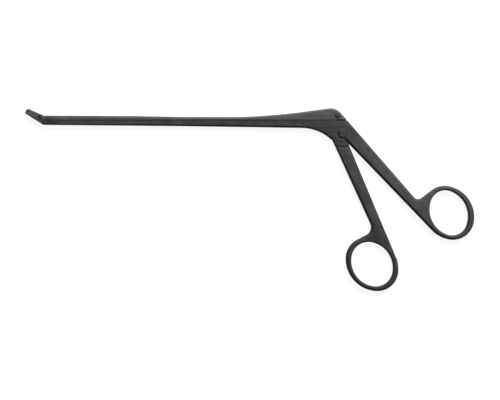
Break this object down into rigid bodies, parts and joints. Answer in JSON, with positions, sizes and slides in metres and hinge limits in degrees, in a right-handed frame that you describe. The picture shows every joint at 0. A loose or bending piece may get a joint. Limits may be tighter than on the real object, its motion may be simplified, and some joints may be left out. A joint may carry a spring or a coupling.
{
  "type": "bone rongeur",
  "caption": "Up-angled cup-jaw bone rongeur with ring handles: a lever slides the upper shaft along the keyed lower shaft and so opens and closes the hinged upper jaw.",
  "frame": {"origin": "where the axis of the handle pivot meets the flat face that the instrument lies on", "axes": "+X from the jaws towards the handles along the shaft, +Y from the rings up to the slider, +Z across the instrument, away from the face it lies on"},
  "size_m": [0.2694, 0.1095, 0.0055],
  "materials": {
    "coated_steel": "satin black coating on stainless steel",
    "pin_steel": "ground flush, dark",
    "screw_steel": "satin, dark"
  },
  "bodies": {
    "thumb_handle": {"thumb_handle_and_shaft": "coated_steel", "jaw_pivot_pin": "pin_steel", "handle_pivot_screw": "screw_steel"},
    "finger_handle": {"finger_handle": "coated_steel"},
    "slider": {"slider": "coated_steel", "jaw_link_pin": "pin_steel", "slider_drive_pin": "pin_steel"},
    "upper_jaw": {"upper_jaw": "coated_steel"}
  },
  "joints": [
    {"name": "handle_hinge", "type": "hinge", "parent": "thumb_handle", "child": "finger_handle", "pos_m": [0, 0, 0], "axis": [0, 0, -1], "range_deg": [0, 11.32]},
    {"name": "slider_slide", "type": "slide", "parent": "thumb_handle", "child": "slider", "axis": [1, 0, 0], "range_m": [0, 0.0022]},
    {"name": "jaw_hinge", "type": "hinge", "parent": "thumb_handle", "child": "upper_jaw", "pos_m": [-0.1796, 0.00675, 0], "axis": [0, 0, -1], "range_deg": [0, 50]}
  ],
  "couplings": [
    {"joint": "slider_slide", "follows": "handle_hinge", "m_per_rad": 0.01109},
    {"joint": "jaw_hinge", "follows": "handle_hinge", "ratio": 4.4156}
  ]
}
